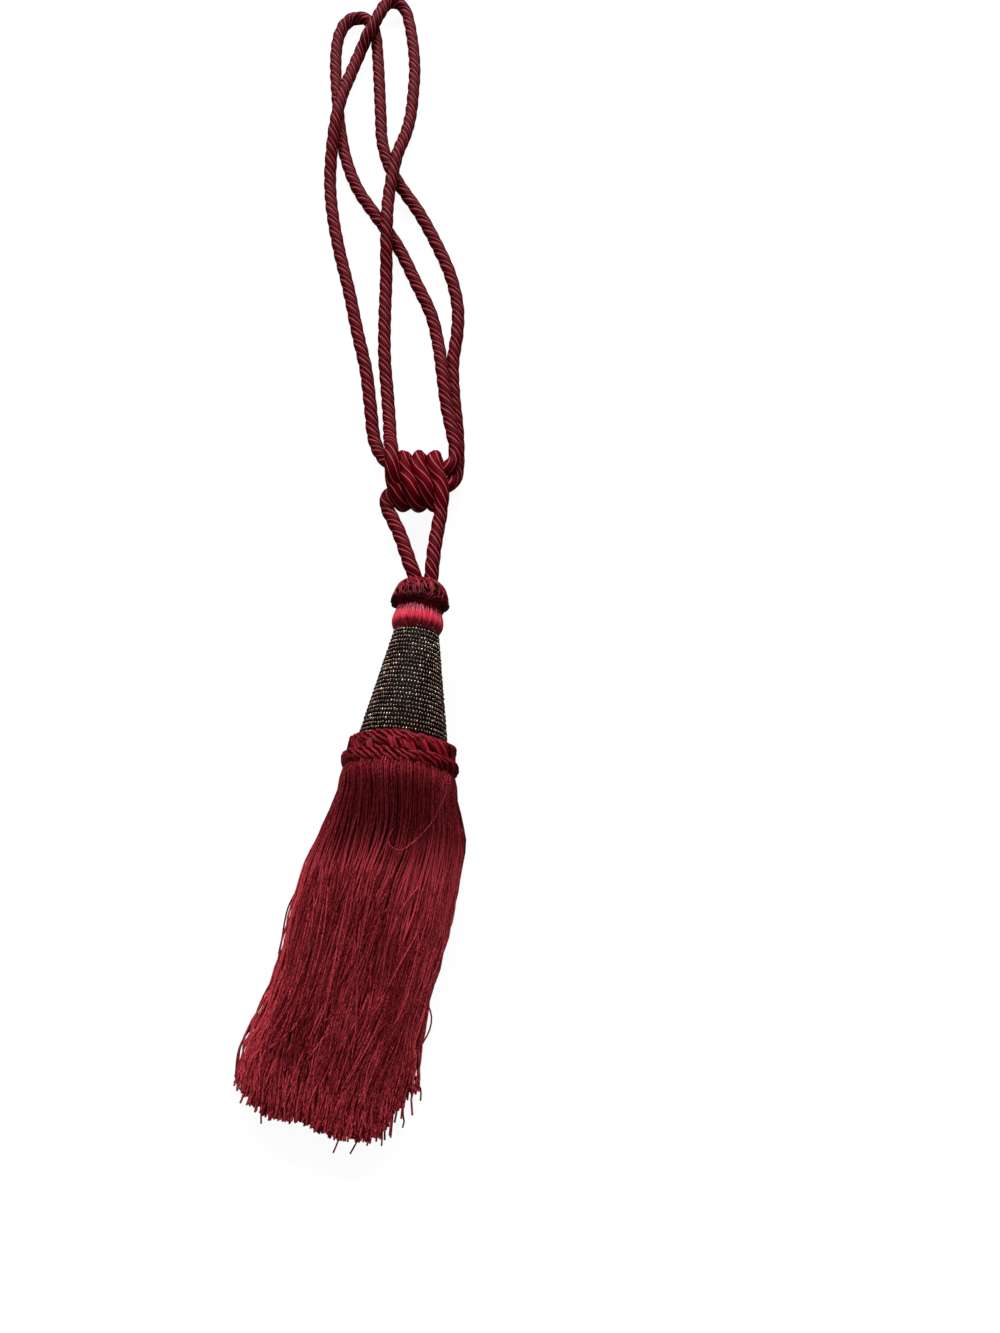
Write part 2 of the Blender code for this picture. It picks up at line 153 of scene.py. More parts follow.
def smooth_line(route, spacing):
    """Evenly spaced points on a centripetal Catmull-Rom curve through the route's points."""
    knots = np.array(route, dtype=float)
    knots = np.vstack([2 * knots[0] - knots[1], knots, 2 * knots[-1] - knots[-2]])
    samples = []
    for p0, p1, p2, p3 in zip(knots, knots[1:], knots[2:], knots[3:]):
        t1 = math.sqrt(np.linalg.norm(p1 - p0))
        t2 = t1 + math.sqrt(np.linalg.norm(p2 - p1))
        t3 = t2 + math.sqrt(np.linalg.norm(p3 - p2))
        for t in np.linspace(t1, t2, 24, endpoint=False):
            a1 = p0 + (p1 - p0) * t / t1
            a2 = p1 + (p2 - p1) * (t - t1) / (t2 - t1)
            a3 = p2 + (p3 - p2) * (t - t2) / (t3 - t2)
            b1 = a1 + (a2 - a1) * t / t2
            b2 = a2 + (a3 - a2) * (t - t1) / (t3 - t1)
            samples.append(b1 + (b2 - b1) * (t - t1) / (t2 - t1))
    samples = np.array([*samples, knots[-2]])
    travelled = np.concatenate([[0], np.cumsum(np.linalg.norm(np.diff(samples, axis=0), axis=1))])
    stops = np.linspace(0, travelled[-1], round(travelled[-1] / spacing) + 1)
    return np.column_stack([np.interp(stops, travelled, samples[:, i]) for i in range(3)])


class Sock:
    """A value in a node tree. Arithmetic on it adds Math nodes."""

    def __init__(self, graph, socket):
        self.graph = graph
        self.socket = socket

    def math(self, operation, *values):
        return self.graph.node("ShaderNodeMath", {"operation": operation}, dict(enumerate(values)))

    def __add__(self, other):
        return self.math("ADD", self, other)

    def __sub__(self, other):
        return self.math("SUBTRACT", self, other)

    def __rsub__(self, other):
        return self.math("SUBTRACT", other, self)

    def __mul__(self, other):
        return self.math("MULTIPLY", self, other)

    def __truediv__(self, other):
        return self.math("DIVIDE", self, other)

    def __pow__(self, other):
        return self.math("POWER", self, other)

    __radd__ = __add__
    __rmul__ = __mul__

    def __gt__(self, other):
        return self.math("GREATER_THAN", self, other)

    def __abs__(self):
        return self.math("ABSOLUTE", self)

    def arctangent(self):
        return self.math("ARCTANGENT", self)

    def cosine(self):
        return self.math("COSINE", self)

    def sine(self):
        return self.math("SINE", self)

    def also(self, out):
        """Another output of the node that this value comes from."""
        return Sock(self.graph, self.socket.node.outputs[out])


class Graph:
    """A node tree being built."""

    def __init__(self, tree):
        self.tree = tree

    def node(self, kind, settings=None, sockets=None, out=0):
        """Adds a node from its type, its settings and the values or links of its sockets."""
        made = self.tree.nodes.new(kind)
        for name, value in (settings or {}).items():
            if name == "stops":
                self.set_stops(made.color_ramp, value)
            else:
                setattr(made, name, value)
        for key, value in (sockets or {}).items():
            for link in value if isinstance(value, list) else [value]:
                if isinstance(link, Sock):
                    self.tree.links.new(link.socket, made.inputs[key])
                else:
                    made.inputs[key].default_value = link
        return Sock(self, made.outputs[out]) if made.outputs else made

    @staticmethod
    def set_stops(ramp, stops):
        while len(ramp.elements) < len(stops):
            ramp.elements.new(1.0)
        for element, (place, colour) in zip(ramp.elements, stops):
            element.position = place
            element.color = colour

    def mix(self, factor, first, second):
        """One colour into another."""
        return self.node("ShaderNodeMix", {"data_type": "RGBA"}, {0: factor, 6: first, 7: second}, 2)


class Finish(Graph):
    """A material on a Principled shader."""

    def __init__(self, name, **constants):
        self.material = bpy.data.materials.new(name)
        self.material.use_nodes = True
        super().__init__(self.material.node_tree)
        self.shader = self.tree.nodes["Principled BSDF"]
        for label, value in constants.items():
            self.shader.inputs[label.replace("_", " ")].default_value = value

    def feed(self, label, value):
        self.tree.links.new(value.socket, self.shader.inputs[label])

    def bump(self, height, distance):
        self.feed("Normal", self.node("ShaderNodeBump", None, {"Height": height, "Distance": distance}))


def dye(red, green, blue):
    """A colour given as 0 to 255 on a screen."""
    def linear(value):
        value = value / 255
        return value / 12.92 if value <= 0.04045 else ((value + 0.055) / 1.055) ** 2.4
    return (linear(red), linear(green), linear(blue), 1.0)


def yarn_finish(name, deep, lit, grain, fibres, painted_highlight=None, line=(0.0, 12.0), drift=0.3,
                bump=0.00005, **constants):
    """Dyed yarn whose surface follows the tube it lies on. The marks of its fibres have the
    grain's length. The painted highlight is a line painted along it in that colour, so many
    degrees to each side of its crest and so many wide. A tube carries its length so far, its
    girth's direction with the crest at +X, and its own shade, random tone with painted light
    and shade on some pieces."""
    finish = Finish(name, **constants)
    along = finish.node("ShaderNodeAttribute", {"attribute_name": "along"}, out="Fac")
    girth = finish.node("ShaderNodeAttribute", {"attribute_name": "girth"}, out="Vector")
    shade = finish.node("ShaderNodeAttribute", {"attribute_name": "shade"}, out="Fac")
    parts = finish.node("ShaderNodeSeparateXYZ", None, {0: girth})
    place = finish.node("ShaderNodeCombineXYZ", None, {
        0: parts * 2 + shade * 61, 1: parts.also(1) * 2 + shade * 37, 2: along / grain + shade * 83})
    marks = finish.node("ShaderNodeTexNoise", None,
                        {"Vector": place, "Scale": 1.0, "Detail": 2.0, "Roughness": 0.6}) - 0.5
    spot = finish.node("ShaderNodeTexCoord", out="Object")
    patches = finish.node("ShaderNodeTexNoise", None, {"Vector": spot, "Scale": 75.0, "Detail": 2.0}) - 0.5
    light = marks * fibres + patches * drift + shade + 0.5
    colour = finish.node("ShaderNodeValToRGB", {"stops": [(0.1, deep), (0.9, lit)]}, {0: light})
    # Painted highlight: a lighter line painted along the tube, at a set angle to each side of its crest.
    if painted_highlight:
        off_line = abs((parts.also(1) / parts).arctangent() * (180 / math.pi)) - line[0]
        near = finish.node("ShaderNodeMapRange", {"interpolation_type": "SMOOTHSTEP"},
                           {0: abs(off_line), 1: line[1] / 2, 2: line[1] / 5})
        colour = finish.mix(near * (parts > 0) * (light * 0.4 + 0.5), colour, painted_highlight)
    finish.feed("Base Color", colour)
    finish.bump(marks, bump)
    return finish.material


def geometry_tree(name, inputs):
    """A tree of Geometry Nodes with named inputs, which end in the finish it sets."""
    tree = bpy.data.node_groups.new(name, "GeometryNodeTree")
    sockets = {"Geometry": "NodeSocketGeometry", **inputs, "Finish": "NodeSocketMaterial"}
    for label, kind in sockets.items():
        tree.interface.new_socket(label, in_out="INPUT", socket_type=kind)
    tree.interface.new_socket("Geometry", in_out="OUTPUT", socket_type="NodeSocketGeometry")
    graph = Graph(tree)
    first = graph.node("NodeGroupInput")
    return graph, {label: first.also(label) for label in sockets}


def end_tree(graph, geometry, finish):
    """Ends a tree with real, smooth faces in their finish."""
    smooth = graph.node("GeometryNodeSetShadeSmooth", None, {0: geometry})
    real = graph.node("GeometryNodeRealizeInstances", None, {0: smooth})
    done = graph.node("GeometryNodeSetMaterial", None, {0: real, "Material": finish})
    graph.node("NodeGroupOutput", None, {0: done})
    return graph.tree


def store(graph, geometry, name, value, vector=False):
    """Keeps a value on the geometry's points under a name that a finish can read."""
    return graph.node("GeometryNodeStoreNamedAttribute",
                      {"data_type": "FLOAT_VECTOR" if vector else "FLOAT"},
                      {"Geometry": geometry, "Name": name, "Value": value})


def recall(graph, name, vector=False):
    return graph.node("GeometryNodeInputNamedAttribute",
                      {"data_type": "FLOAT_VECTOR" if vector else "FLOAT"}, {"Name": name})


def tube_profile(graph, sides, radius, strands=None, depth=0.0):
    """A ring that carries its direction as "girth", with a lobe for each strand."""
    ring = graph.node("GeometryNodeCurvePrimitiveCircle", None, {"Resolution": sides, "Radius": radius})
    angle = graph.node("GeometryNodeInputIndex") * math.tau / sides
    direction = graph.node("ShaderNodeCombineXYZ", None, {0: angle.cosine(), 1: angle.sine()})
    ring = store(graph, ring, "girth", direction, vector=True)
    if strands is None:
        return ring
    lobes = graph.node("ShaderNodeVectorMath", {"operation": "SCALE"},
                       {0: direction, "Scale": (angle * strands).cosine() * depth})
    return graph.node("GeometryNodeSetPosition", None, {0: ring, "Offset": lobes})


def laid_cord_tree():
    """Plies twisted left-handed around each line. A line carries how often they have gone
    around it so far, and how much fuller they are than usual."""
    graph, given = geometry_tree("laid_cord", {
        "Plies": "NodeSocketInt", "Ply Radius": "NodeSocketFloat", "Ply Distance": "NodeSocketFloat",
        "Sides": "NodeSocketInt", "Yarns": "NodeSocketInt", "Yarn Depth": "NodeSocketFloat",
        "Unevenness": "NodeSocketFloat",
    })
    line = graph.node("GeometryNodeMeshToCurve", None, {0: given["Geometry"]})
    line = store(graph, line, "along", graph.node("GeometryNodeSplineParameter", out="Length"))
    line = store(graph, line, "side", graph.node("GeometryNodeInputNormal"), vector=True)
    line = store(graph, line, "way", graph.node("GeometryNodeInputTangent"), vector=True)
    plies = graph.node("GeometryNodeDuplicateElements", {"domain": "SPLINE"},
                       {0: line, "Amount": given["Plies"]})
    turned = plies.also("Duplicate Index") / given["Plies"] - recall(graph, "twist")
    spoke = graph.node("ShaderNodeVectorRotate", {"rotation_type": "AXIS_ANGLE"}, {
        "Vector": recall(graph, "side", vector=True), "Axis": recall(graph, "way", vector=True),
        "Angle": turned * math.tau,
    })
    plies = store(graph, plies, "spoke", spoke, vector=True)
    offset = graph.node("ShaderNodeVectorMath", {"operation": "SCALE"}, {
        0: recall(graph, "spoke", vector=True), "Scale": given["Ply Distance"]})
    plies = graph.node("GeometryNodeSetPosition", None, {0: plies, "Offset": offset})
    ripple = graph.node("ShaderNodeTexNoise", None, {"Scale": 260.0, "Detail": 1.0}, out=1)
    ripple = graph.node("ShaderNodeVectorMath", {"operation": "SUBTRACT"}, {0: ripple, 1: (0.5, 0.5, 0.5)})
    ripple = graph.node("ShaderNodeVectorMath", {"operation": "SCALE"},
                        {0: ripple, "Scale": given["Unevenness"]})
    plies = graph.node("GeometryNodeSetPosition", None, {0: plies, "Offset": ripple})
    plies = graph.node("GeometryNodeSetCurveNormal", {"mode": "FREE"},
                       {0: plies, "Normal": recall(graph, "spoke", vector=True)})
    ring = tube_profile(graph, given["Sides"], given["Ply Radius"] - given["Yarn Depth"],
                        given["Yarns"], given["Yarn Depth"])
    tubes = graph.node("GeometryNodeCurveToMesh", None, {
        "Curve": plies, "Profile Curve": ring, "Scale": recall(graph, "swell") + 1, "Fill Caps": True})
    return end_tree(graph, tubes, given["Finish"])


def lines_mesh(name, lines, closed=False, **values):
    """A mesh of bare lines from points in millimetres, with a value for each line or point."""
    points = np.vstack(lines) * MM
    edges, first = [], 0
    for line in lines:
        numbers = list(range(first, first + len(line)))
        edges += list(zip(numbers, numbers[1:] + (numbers[:1] if closed else [])))
        first += len(line)
    mesh = bpy.data.meshes.new(name)
    mesh.from_pydata(points.tolist(), edges, [])
    for label, numbers in values.items():
        spread = np.asarray(numbers, dtype=np.float32)
        if len(spread) == len(lines):
            spread = np.repeat(spread, [len(line) for line in lines])
        mesh.attributes.new(label, "FLOAT", "POINT").data.foreach_set("value", spread)
    return mesh


def grow(name, tree, base, finish, place=None, **sizes):
    """Runs a tree on a mesh and keeps what it makes as a plain piece, laid in its place and
    pressed flat where it would sink into the surface."""
    holder = bpy.data.objects.new(name + "_base", base)
    bpy.context.scene.collection.objects.link(holder)
    modifier = holder.modifiers.new("tree", "NODES")
    modifier.node_group = tree
    sizes["Finish"] = finish
    for item in tree.interface.items_tree:
        if item.in_out == "INPUT" and item.name.replace(" ", "_") in sizes:
            modifier[item.identifier] = sizes[item.name.replace(" ", "_")]
    evaluated = holder.evaluated_get(bpy.context.evaluated_depsgraph_get())
    mesh = bpy.data.meshes.new_from_object(evaluated)
    bpy.data.objects.remove(holder)
    mesh.name = name
    if place:
        mesh.transform(place)
    points = np.empty(len(mesh.vertices) * 3, dtype=np.float32)
    mesh.vertices.foreach_get("co", points)
    points[2::3] = np.maximum(points[2::3], 0.0)
    mesh.vertices.foreach_set("co", points)
    piece = bpy.data.objects.new(name, mesh)
    bpy.context.scene.collection.objects.link(piece)
    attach(piece, "root")
    return piece


rope_ends = [HEAD_FOOT + HEAD_AXIS * CAP_TOP + HEAD_ACROSS * side * ROPE_ENTRY for side in (-1, 1)]
lead = HEAD_AXIS * 3.0
knot_x, knot_y, knot_z = KNOT_MIDDLE
lower_core = [(knot_x + along, knot_y - CORE_SPREAD, knot_z) for along in (-12, 0, 10)]
upper_core = [(knot_x + along, knot_y + CORE_SPREAD, knot_z) for along in (10, 0, -11)]
rope_line = smooth_line([
    rope_ends[0], rope_ends[0] + lead, *LEFT_HANGER, *lower_core,
    *RIGHT_LEG_OF_LOWER_LOOP, *LOWER_APEX, *LEFT_LEG_OF_LOWER_LOOP, *upper_core,
    *LEFT_LEG_OF_UPPER_LOOP, *UPPER_APEX, *RIGHT_LEG_OF_UPPER_LOOP,
    *FIRST_FRONT, *knot_turns(), *RIGHT_HANGER, rope_ends[1] + lead, rope_ends[1],
], spacing=ROPE_STEP)

# The rope's yarn has a painted highlight: a thin pink line painted along each ply, 39 degrees to each side
# of its crest.
rope_finish = yarn_finish(
    "rope_yarn", dye(46, 0, 2), dye(97, 0, 10), grain=0.006, fibres=0.5, painted_highlight=dye(208, 100, 112),
    line=(39.0, 11.0), bump=0.00004, Roughness=0.5, Specular_IOR_Level=0.03,
)
laid_cord = laid_cord_tree()
knot_distance = np.linalg.norm((rope_line - KNOT_MIDDLE) / KNOT_REACH, axis=1)
in_knot = np.clip(1.6 - knot_distance, 0, 0.6) / 0.6
rope_twist = np.cumsum(ROPE_STEP / (ROPE_LAY + (KNOT_LAY - ROPE_LAY) * in_knot))
# The rope's shade is painted: painted shade along the loops and painted light in the knot.
rope = grow(
    "rope_plies", laid_cord,
    lines_mesh("rope_line", [rope_line], twist=rope_twist, swell=in_knot * KNOT_SWELL,
               shade=in_knot * (KNOT_PAINTED_LIGHT - ROPE_PAINTED_SHADE) + ROPE_PAINTED_SHADE),
    rope_finish, Plies=3, Ply_Radius=PLY_THICKNESS / 2 * MM, Ply_Distance=PLY_DISTANCE * MM,
    Sides=18, Yarns=YARNS_PER_PLY, Yarn_Depth=0.04 * MM, Unevenness=0.3 * MM,
)
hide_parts("rope")

# ---- Cap ----
# The head's cap is a small padded dome under three rings of twisted crimson cord, each smaller
# than the one below. Fine threads are drawn from the rope's two ends over its crown, and tie it
# to the rings.
HEAD_PLACE = Matrix.Translation(Vector(HEAD_FOOT * MM)) @ Matrix(
    np.column_stack([HEAD_UP, HEAD_ACROSS, HEAD_AXIS]).tolist()).to_4x4()
CAP_RINGS = ((93.7, 13.5), (98.2, 12.6), (101.9, 10.2))  # distance along the axis, radius
RING_POINTS = 192
CAP_CORE = ((91.0, 12.0), (93.6, 13.6), (98.0, 13.2), (102.5, 11.2), (104.6, 7.8), (105.6, 0.5))
CROWN_THREADS = 150
CROWN_THREAD = 0.85
CROWN = ((105.8, 5.4), (105.6, 8.6), (104.2, 11.4), (101.6, 13.6), (97.6, 15.2), (93.4, 16.0))


def ring_line(distance, radius, wobble=0.0, seed=0):
    """A closed line around the head's axis, from its underside, before the head is laid down."""
    phase = np.random.default_rng(seed).uniform(0, math.tau, 3)
    angle = math.pi + np.arange(RING_POINTS) / RING_POINTS * math.tau
    drift = sum(np.sin(k * angle + phase[k - 2]) for k in (2, 3, 4)) * wobble / 3
    return np.column_stack([
        (radius + drift) * np.cos(angle), (radius + drift) * np.sin(angle), distance + drift])


def ring_twist(*turns):
    """How often the plies have gone around, for each point of rings with these whole turns."""
    return np.concatenate([np.arange(RING_POINTS) / RING_POINTS * count for count in turns])


def turned_core(name, profile, finish, sides=64):
    """A solid of revolution around the head's axis, from its foot to its top."""
    angles = np.arange(sides) / sides * math.tau
    points = [
        (radius * math.cos(angle) * MM, radius * math.sin(angle) * MM, distance * MM)
        for distance, radius in profile for angle in angles
    ]
    faces = [
        (row * sides + k, row * sides + (k + 1) % sides,
         (row + 1) * sides + (k + 1) % sides, (row + 1) * sides + k)
        for row in range(len(profile) - 1) for k in range(sides)
    ]
    top = (len(profile) - 1) * sides
    faces += [tuple(range(sides))[::-1], tuple(range(top, top + sides))]
    mesh = bpy.data.meshes.new(name)
    mesh.from_pydata(points, [], faces)
    mesh.transform(HEAD_PLACE)
    mesh.shade_smooth()
    mesh.materials.append(finish)
    core = bpy.data.objects.new(name, mesh)
    bpy.context.scene.collection.objects.link(core)
    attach(core, "root")
    return core


def thread_tree():
    """A round thread on each line."""
    graph, given = geometry_tree("thread", {"Thickness": "NodeSocketFloat", "Sides": "NodeSocketInt"})
    line = graph.node("GeometryNodeMeshToCurve", None, {0: given["Geometry"]})
    line = store(graph, line, "along", graph.node("GeometryNodeSplineParameter", out="Length"))
    ring = tube_profile(graph, given["Sides"], given["Thickness"] / 2)
    tubes = graph.node("GeometryNodeCurveToMesh", None,
                       {"Curve": line, "Profile Curve": ring, "Fill Caps": True})
    return end_tree(graph, tubes, given["Finish"])


cap_finish = yarn_finish(
    "cap_yarn", dye(58, 0, 6), dye(188, 44, 66), grain=0.004, fibres=0.7, drift=0.5,
    Roughness=0.4, Specular_IOR_Level=0.1,
)
cap_lines = [ring_line(distance, radius, 0.6, seed=10 + row)
             for row, (distance, radius) in enumerate(CAP_RINGS)]
cap = grow(
    "cap_cords", laid_cord,
    lines_mesh("cap_rings", cap_lines, closed=True, shade=[-0.42, -0.4, -0.3], twist=ring_twist(6, 5, 4)),
    cap_finish, HEAD_PLACE, Plies=6, Ply_Radius=1.0 * MM, Ply_Distance=1.6 * MM,
    Sides=8, Yarns=4, Yarn_Depth=0.05 * MM, Unevenness=3.6 * MM,
)
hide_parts("cap_plait")

shaded_finish = Finish("shaded_padding", Roughness=0.8)
shaded_finish.shader.inputs["Base Color"].default_value = dye(52, 0, 8)
cap_core = turned_core("cap_padding", CAP_CORE, shaded_finish.material)

thread = thread_tree()
dice = np.random.default_rng(4)
crown_lines = []
for number in range(CROWN_THREADS):
    angle = math.tau * (number + dice.uniform(-0.4, 0.4)) / CROWN_THREADS
    swirl = dice.normal(0.05, 0.08)
    lift = dice.uniform(-0.3, 0.5)
    crown_lines.append(np.array([
        (radius * math.cos(angle + swirl * k), radius * math.sin(angle + swirl * k), distance + lift)
        for k, (distance, radius) in enumerate(CROWN[:dice.integers(4, 7)])
    ]))
lit_threads = dice.random(CROWN_THREADS) < 0.22
crown = grow("cap_crown_threads", thread, lines_mesh(
    "crown_lines", [smooth_line(line, 1.5) for line in crown_lines],
    shade=dice.uniform(-0.4, -0.15, CROWN_THREADS) + 0.4 * lit_threads),
    cap_finish, HEAD_PLACE, Thickness=CROWN_THREAD * MM, Sides=6)

# ---- Satin neck ----
# Between the cap and the beads the mould's neck is covered with bright silk thread, laid
# lengthwise and close together, with a few threads that have slipped across the others.
NECK = ((76.2, 11.6), (78.0, 12.9), (81.0, 13.9), (84.0, 13.7), (87.5, 12.7), (92.0, 11.6))
NECK_THREADS = 118
NECK_THREAD = 0.74
NECK_PAINTED_LIGHT = ((77.5, -0.5), (79.5, -0.2), (81.5, 0.4), (84.0, 0.2), (87.5, -0.5))  # along the axis: painted shade under the cap and above the beads, a painted highlight between

silk_finish = yarn_finish(
    "neck_silk", dye(100, 0, 14), dye(234, 62, 88), grain=0.006, fibres=0.8, bump=0.00003,
    Roughness=0.3, Specular_IOR_Level=0.6, Specular_Tint=dye(255, 140, 160),
)
dice = np.random.default_rng(7)
neck_lines = []
for layer in range(2):
    for number in range(NECK_THREADS):
        angle = math.tau * (number + 0.5 * layer + dice.uniform(-0.25, 0.25)) / NECK_THREADS
        slip = dice.normal(0, 0.025) * (3 if dice.random() < 0.08 else 1)
        neck_lines.append(np.array([
            ((radius - 0.45 * layer) * math.cos(angle + slip * (k - 2.5)),
             (radius - 0.45 * layer) * math.sin(angle + slip * (k - 2.5)), distance)
            for k, (distance, radius) in enumerate(NECK)
        ]))
neck_lines = [smooth_line(line, 1.6) for line in neck_lines]
# Each neck thread is random in tone, with the painted shade and highlight along the axis added.
neck_shade = [
    dice.uniform(-0.35, 0.3) + np.interp(line[:, 2], *np.transpose(NECK_PAINTED_LIGHT))
    for line in neck_lines]
neck = grow("neck_silk", thread, lines_mesh(
    "neck_lines", neck_lines, shade=np.concatenate(neck_shade)),
    silk_finish, HEAD_PLACE, Thickness=NECK_THREAD * MM, Sides=6)
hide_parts("satin_neck")

# ---- Bead cone ----
# The turned mould is a cone. One string of small round glass beads with an iris finish, from bronze
# to purple, is wound around it in a close spiral and glued down.
CONE_BASE, CONE_TOP = 15.6, 76.8
CONE_BASE_RADIUS, CONE_TOP_RADIUS = 23.9, 12.4
BEAD_WIDTH = 2.08
BEAD_SPACING = 1.62
BEAD_ROWS = 26

# The mould is near black, as painted shade in the gaps between the beads.
mould_finish = Finish("mould_varnish", Roughness=0.6)
mould_finish.shader.inputs["Base Color"].default_value = dye(10, 5, 4)
mould = turned_core("mould", (
    (-3.5, 20.0), (CONE_BASE, 20.0), (CONE_BASE + 0.1, CONE_BASE_RADIUS - 1.5),
    (CONE_TOP, CONE_TOP_RADIUS - 1.5), (91.5, 11.0)), mould_finish.material)


def bead_string_tree():
    """Beads threaded on a conical spiral that rises around +Z. Each point of a bead carries how
    far it stands out from the string, in bead radii."""
    graph, given = geometry_tree("bead_string", {
        "Rows": "NodeSocketFloat", "Foot Radius": "NodeSocketFloat", "Top Radius": "NodeSocketFloat",
        "Rise": "NodeSocketFloat", "Spacing": "NodeSocketFloat", "Bead Radius": "NodeSocketFloat",
        "Seed": "NodeSocketInt",
    })
    string = graph.node("GeometryNodeCurveSpiral", None, {
        "Resolution": 96, "Rotations": given["Rows"], "Start Radius": given["Foot Radius"],
        "End Radius": given["Top Radius"], "Height": given["Rise"]})
    string = graph.node("GeometryNodeResampleCurve", {"mode": "LENGTH"},
                        {0: string, "Length": given["Spacing"]})

    def chance(low, high, shift, vector=False):
        kind = "FLOAT_VECTOR" if vector else "FLOAT"
        spread = {0: low, 1: high} if vector else {2: low, 3: high}
        return graph.node("FunctionNodeRandomValue", {"data_type": kind},
                          {**spread, "Seed": given["Seed"] + shift}, 0 if vector else 1)

    nudge = given["Bead Radius"] * 0.2
    shift = graph.node("ShaderNodeVectorMath", {"operation": "SCALE"},
                       {0: chance((-1, -1, -1), (1, 1, 1), 1, vector=True), "Scale": nudge})
    points = graph.node("GeometryNodeCurveToPoints", {"mode": "EVALUATED"}, {0: string})
    tint = store(graph, points, "tint", chance(0.0, 1.0, 2))
    placed = graph.node("GeometryNodeSetPosition", None, {0: tint, "Offset": shift})
    bead = graph.node("GeometryNodeMeshIcoSphere", None,
                      {"Radius": given["Bead Radius"], "Subdivisions": 2})
    size = chance((0.9, 0.9, 0.56), (1.04, 1.04, 0.7), 4, vector=True)
    beads = graph.node("GeometryNodeInstanceOnPoints", None, {
        "Points": placed, "Instance": bead, "Rotation": points.also("Rotation"), "Scale": size})
    beads = graph.node("GeometryNodeRealizeInstances", None, {0: beads})
    place = graph.node("ShaderNodeSeparateXYZ", None, {0: graph.node("GeometryNodeInputPosition")})
    reach = (place * place + place.also(1) * place.also(1)) ** 0.5
    narrowing = (given["Foot Radius"] - given["Top Radius"]) / given["Rise"]
    string_reach = given["Foot Radius"] - narrowing * place.also(2)
    beads = store(graph, beads, "proud", (reach - string_reach) / given["Bead Radius"])
    return end_tree(graph, beads, given["Finish"])


bead_finish = Finish("iris_beads", Metallic=0.7, Roughness=0.24, Specular_IOR_Level=0.25)
tint = bead_finish.node("ShaderNodeAttribute", {"attribute_name": "tint"}, out="Fac")
proud = bead_finish.node("ShaderNodeAttribute", {"attribute_name": "proud"}, out="Fac")
spot = bead_finish.node("ShaderNodeTexCoord", out="Object")
drift = bead_finish.node("ShaderNodeTexNoise", None, {"Vector": spot, "Scale": 55.0, "Detail": 1.0})
iris = bead_finish.node("ShaderNodeValToRGB", {"stops": [
    (0.0, dye(68, 53, 46)), (0.35, dye(130, 113, 92)), (0.6, dye(84, 61, 56)),
    (0.8, dye(140, 106, 104)), (0.9, dye(168, 148, 128)), (1.0, dye(208, 192, 170)),
]}, {0: tint * 0.95 + drift * 0.2 - 0.08})
# Painted shade: each bead darkens to near black towards the string and the mould, where beads meet.
bare = bead_finish.node("ShaderNodeMapRange", None, {0: proud, 1: 0.25, 2: 0.85})
bead_finish.feed("Base Color", bead_finish.mix(bare, dye(10, 5, 4), iris))
bead_seat = HEAD_PLACE @ Matrix.Translation((0, 0, (CONE_BASE - 1.2) * MM))
beads = grow(
    "beads", bead_string_tree(), lines_mesh("bead_base", [np.zeros((2, 3))]),
    bead_finish.material, bead_seat, Rows=float(BEAD_ROWS),
    Foot_Radius=(CONE_BASE_RADIUS - BEAD_WIDTH / 2 + 0.1) * MM,
    Top_Radius=(CONE_TOP_RADIUS - BEAD_WIDTH / 2 + 0.1) * MM,
    Rise=(CONE_TOP - CONE_BASE + 1.2) * MM, Spacing=BEAD_SPACING * MM,
    Bead_Radius=BEAD_WIDTH / 2 * MM, Seed=3,
)
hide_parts("bead_cone")

# ---- Collar ----
# Two rings of thick crimson cord of eight soft plies are stacked around the foot of the head,
# and are sewn to it with short hanks of thread that lie slantwise over both.
COLLAR_RINGS = ((10.3, 24.0), (1.6, 26.2))
HANKS = 40
THREADS_PER_HANK = 4
HANK_THREAD = 1.0
HANK_ROUTE = ((14.6, 21.6), (13.2, 25.6), (9.0, 28.2), (5.0, 28.6), (1.0, 29.6), (-2.2, 28.4))
COLLAR_CORE = ((-3.0, 20.2), (-3.0, 25.0), (1.6, 27.5), (6.0, 25.5), (10.3, 25.5),
               (14.0, 22.5), (15.2, 20.2))

# The plait's yarn has a painted highlight: a pink line painted along the crest of each ply.
plait_finish = yarn_finish(
    "plait_yarn", dye(52, 0, 4), dye(118, 3, 17), grain=0.004, fibres=0.8, painted_highlight=dye(170, 56, 72),
    line=(0.0, 22.0), drift=0.6, Roughness=0.4, Specular_IOR_Level=0.1,
)
collar_lines = [ring_line(distance, radius, 0.6, seed=20 + row)
                for row, (distance, radius) in enumerate(COLLAR_RINGS)]
collar = grow(
    "collar_cords", laid_cord,
    lines_mesh("collar_rings", collar_lines, closed=True, shade=[0.0, -0.05], twist=ring_twist(-5, -5)),
    plait_finish, HEAD_PLACE, Plies=8, Ply_Radius=1.2 * MM, Ply_Distance=3.5 * MM,
    Sides=8, Yarns=4, Yarn_Depth=0.04 * MM, Unevenness=3.0 * MM,
)
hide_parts("collar_plait")

